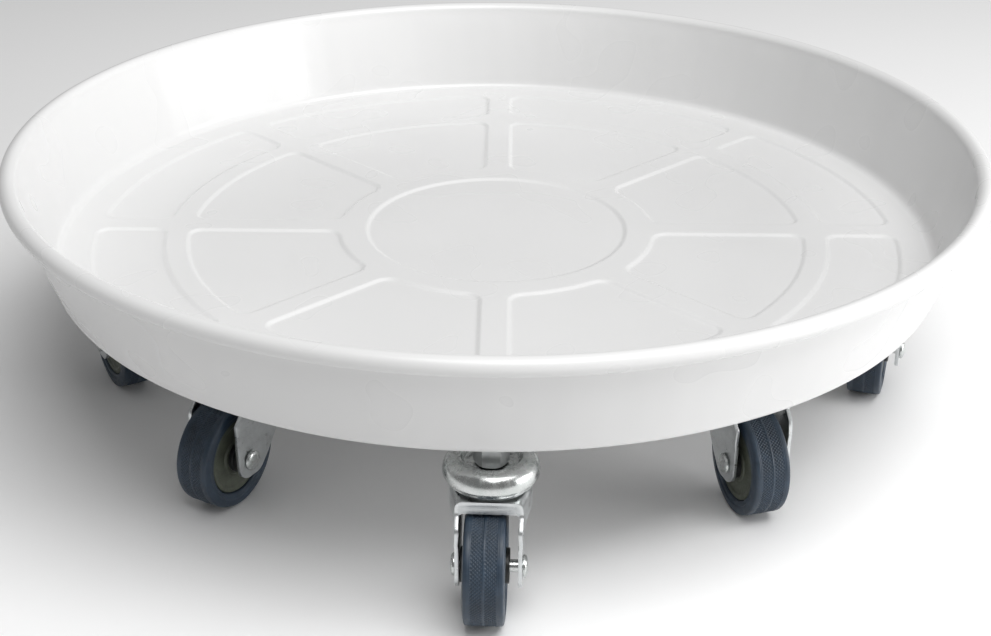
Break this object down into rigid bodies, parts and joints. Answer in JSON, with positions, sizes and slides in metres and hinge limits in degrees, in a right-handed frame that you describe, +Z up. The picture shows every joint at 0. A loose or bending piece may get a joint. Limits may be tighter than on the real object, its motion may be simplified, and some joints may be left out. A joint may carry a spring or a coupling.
{
  "type": "plant pot caddy",
  "caption": "Round white moulded tray with a rolled rim and a ribbed floor, carried on small free-swivelling stem casters, for moving heavy plant pots.",
  "frame": {"origin": "on the ground under the centre of the tray", "axes": "+Z up; -Y towards the caster at the front of the picture's view, +X to the right of it"},
  "size_m": [0.48, 0.4801, 0.1327],
  "materials": {
    "tray_plastic": "white moulded plastic, soft gloss",
    "zinc_steel": "zinc-plated pressed steel",
    "polished_zinc": "bright zinc plate, nearly polished",
    "hub_plastic": "dark grey-green moulded plastic with a black bushing",
    "tyre_rubber": "dark slate-blue rubber with a fine diagonal tread"
  },
  "bodies": {
    "tray": {"tray": "tray_plastic", "stem_1": "zinc_steel", "lock_nut_1": "zinc_steel", "dome_1": "polished_zinc", "stem_2": "zinc_steel", "lock_nut_2": "zinc_steel", "dome_2": "polished_zinc", "stem_3": "zinc_steel", "lock_nut_3": "zinc_steel", "dome_3": "polished_zinc", "stem_4": "zinc_steel", "lock_nut_4": "zinc_steel", "dome_4": "polished_zinc", "stem_5": "zinc_steel", "lock_nut_5": "zinc_steel", "dome_5": "polished_zinc", "stem_6": "zinc_steel", "lock_nut_6": "zinc_steel", "dome_6": "polished_zinc", "stem_7": "zinc_steel", "lock_nut_7": "zinc_steel", "dome_7": "polished_zinc", "stem_8": "zinc_steel", "lock_nut_8": "zinc_steel", "dome_8": "polished_zinc"},
    "fork_1": {"fork_1": "zinc_steel", "axle_1": "polished_zinc"},
    "wheel_1": {"hub_1": "hub_plastic", "tyre_1": "tyre_rubber"},
    "fork_2": {"fork_2": "zinc_steel", "axle_2": "polished_zinc"},
    "wheel_2": {"hub_2": "hub_plastic", "tyre_2": "tyre_rubber"},
    "fork_3": {"fork_3": "zinc_steel", "axle_3": "polished_zinc"},
    "wheel_3": {"hub_3": "hub_plastic", "tyre_3": "tyre_rubber"},
    "fork_4": {"fork_4": "zinc_steel", "axle_4": "polished_zinc"},
    "wheel_4": {"hub_4": "hub_plastic", "tyre_4": "tyre_rubber"},
    "fork_5": {"fork_5": "zinc_steel", "axle_5": "polished_zinc"},
    "wheel_5": {"hub_5": "hub_plastic", "tyre_5": "tyre_rubber"},
    "fork_6": {"fork_6": "zinc_steel", "axle_6": "polished_zinc"},
    "wheel_6": {"hub_6": "hub_plastic", "tyre_6": "tyre_rubber"},
    "fork_7": {"fork_7": "zinc_steel", "axle_7": "polished_zinc"},
    "wheel_7": {"hub_7": "hub_plastic", "tyre_7": "tyre_rubber"},
    "fork_8": {"fork_8": "zinc_steel", "axle_8": "polished_zinc"},
    "wheel_8": {"hub_8": "hub_plastic", "tyre_8": "tyre_rubber"}
  },
  "joints": [
    {"name": "swivel_1", "type": "hinge", "parent": "tray", "child": "fork_1", "pos_m": [0, -0.1995, 0.056], "axis": [0, 0, 1], "continuous": true},
    {"name": "wheel_spin_1", "type": "hinge", "parent": "fork_1", "child": "wheel_1", "pos_m": [-0.00054, -0.21499, 0.025], "axis": [0.9994, -0.0349, 0], "continuous": true},
    {"name": "swivel_2", "type": "hinge", "parent": "tray", "child": "fork_2", "pos_m": [0.11399, -0.11399, 0.056], "axis": [0, 0, 1], "continuous": true},
    {"name": "wheel_spin_2", "type": "hinge", "parent": "fork_2", "child": "wheel_2", "pos_m": [0.11865, -0.12877, 0.025], "axis": [0.9537, 0.3007, 0], "continuous": true},
    {"name": "swivel_3", "type": "hinge", "parent": "tray", "child": "fork_3", "pos_m": [0.1995, 0, 0.056], "axis": [0, 0, 1], "continuous": true},
    {"name": "wheel_spin_3", "type": "hinge", "parent": "fork_3", "child": "wheel_3", "pos_m": [0.19497, -0.01482, 0.025], "axis": [0.9563, -0.2924, 0], "continuous": true},
    {"name": "swivel_4", "type": "hinge", "parent": "tray", "child": "fork_4", "pos_m": [0.11399, 0.11399, 0.056], "axis": [0, 0, 1], "continuous": true},
    {"name": "wheel_spin_4", "type": "hinge", "parent": "fork_4", "child": "wheel_4", "pos_m": [0.11561, 0.09857, 0.025], "axis": [0.9945, 0.1045, 0], "continuous": true},
    {"name": "swivel_5", "type": "hinge", "parent": "tray", "child": "fork_5", "pos_m": [0, 0.1995, 0.056], "axis": [0, 0, 1], "continuous": true},
    {"name": "wheel_spin_5", "type": "hinge", "parent": "fork_5", "child": "wheel_5", "pos_m": [-0.00296, 0.18429, 0.025], "axis": [0.9816, -0.1908, 0], "continuous": true},
    {"name": "swivel_6", "type": "hinge", "parent": "tray", "child": "fork_6", "pos_m": [-0.11399, 0.11399, 0.056], "axis": [0, 0, 1], "continuous": true},
    {"name": "wheel_spin_6", "type": "hinge", "parent": "fork_6", "child": "wheel_6", "pos_m": [-0.10868, 0.09942, 0.025], "axis": [0.9397, 0.342, 0], "continuous": true},
    {"name": "swivel_7", "type": "hinge", "parent": "tray", "child": "fork_7", "pos_m": [-0.1995, 0, 0.056], "axis": [0, 0, 1], "continuous": true},
    {"name": "wheel_spin_7", "type": "hinge", "parent": "fork_7", "child": "wheel_7", "pos_m": [-0.19152, -0.01329, 0.025], "axis": [0.8572, 0.515, 0], "continuous": true},
    {"name": "swivel_8", "type": "hinge", "parent": "tray", "child": "fork_8", "pos_m": [-0.11399, -0.11399, 0.056], "axis": [0, 0, 1], "continuous": true},
    {"name": "wheel_spin_8", "type": "hinge", "parent": "fork_8", "child": "wheel_8", "pos_m": [-0.12155, -0.12752, 0.025], "axis": [0.8729, -0.4879, 0], "continuous": true}
  ]
}
